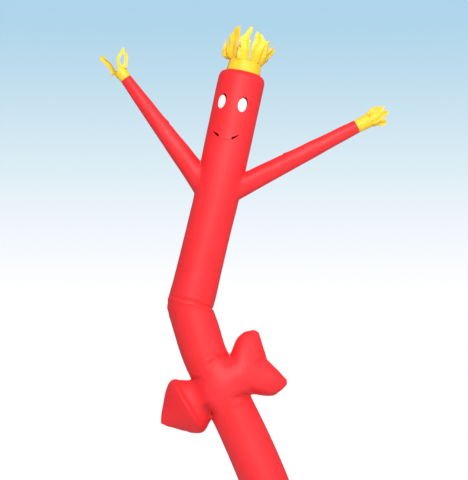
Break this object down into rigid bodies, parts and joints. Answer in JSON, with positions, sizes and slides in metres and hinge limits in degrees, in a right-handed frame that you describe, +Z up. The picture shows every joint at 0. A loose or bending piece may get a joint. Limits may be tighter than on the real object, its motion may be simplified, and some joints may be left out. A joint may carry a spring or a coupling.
{
  "type": "inflatable air dancer",
  "caption": "Tall air-filled cloth tube man, held up by a stream of air, with raised arms, streamer hair and hands, a simple face and an arrow across the body.",
  "frame": {"origin": "centre of the air inlet, at the bottom edge of the tube's hem", "axes": "+Z up, the face looks along -Y, +X to the right of someone who looks at the face"},
  "size_m": [2.9415, 0.5, 5.8659],
  "materials": {
    "red_cloth": "coated ripstop nylon, soft satin",
    "yellow_cloth": "coated ripstop nylon, soft satin",
    "white_cloth": "coated ripstop nylon, matt"
  },
  "bodies": {
    "root": {"tube_lower": "red_cloth", "tube_hip": "red_cloth", "tube_torso": "red_cloth", "head_cap": "red_cloth", "arrow": "red_cloth", "arm_left": "red_cloth", "arm_right": "red_cloth", "hair": "yellow_cloth", "hand_left": "yellow_cloth", "hand_right": "yellow_cloth", "eye_left": "white_cloth", "eye_right": "white_cloth"}
  },
  "joints": []
}
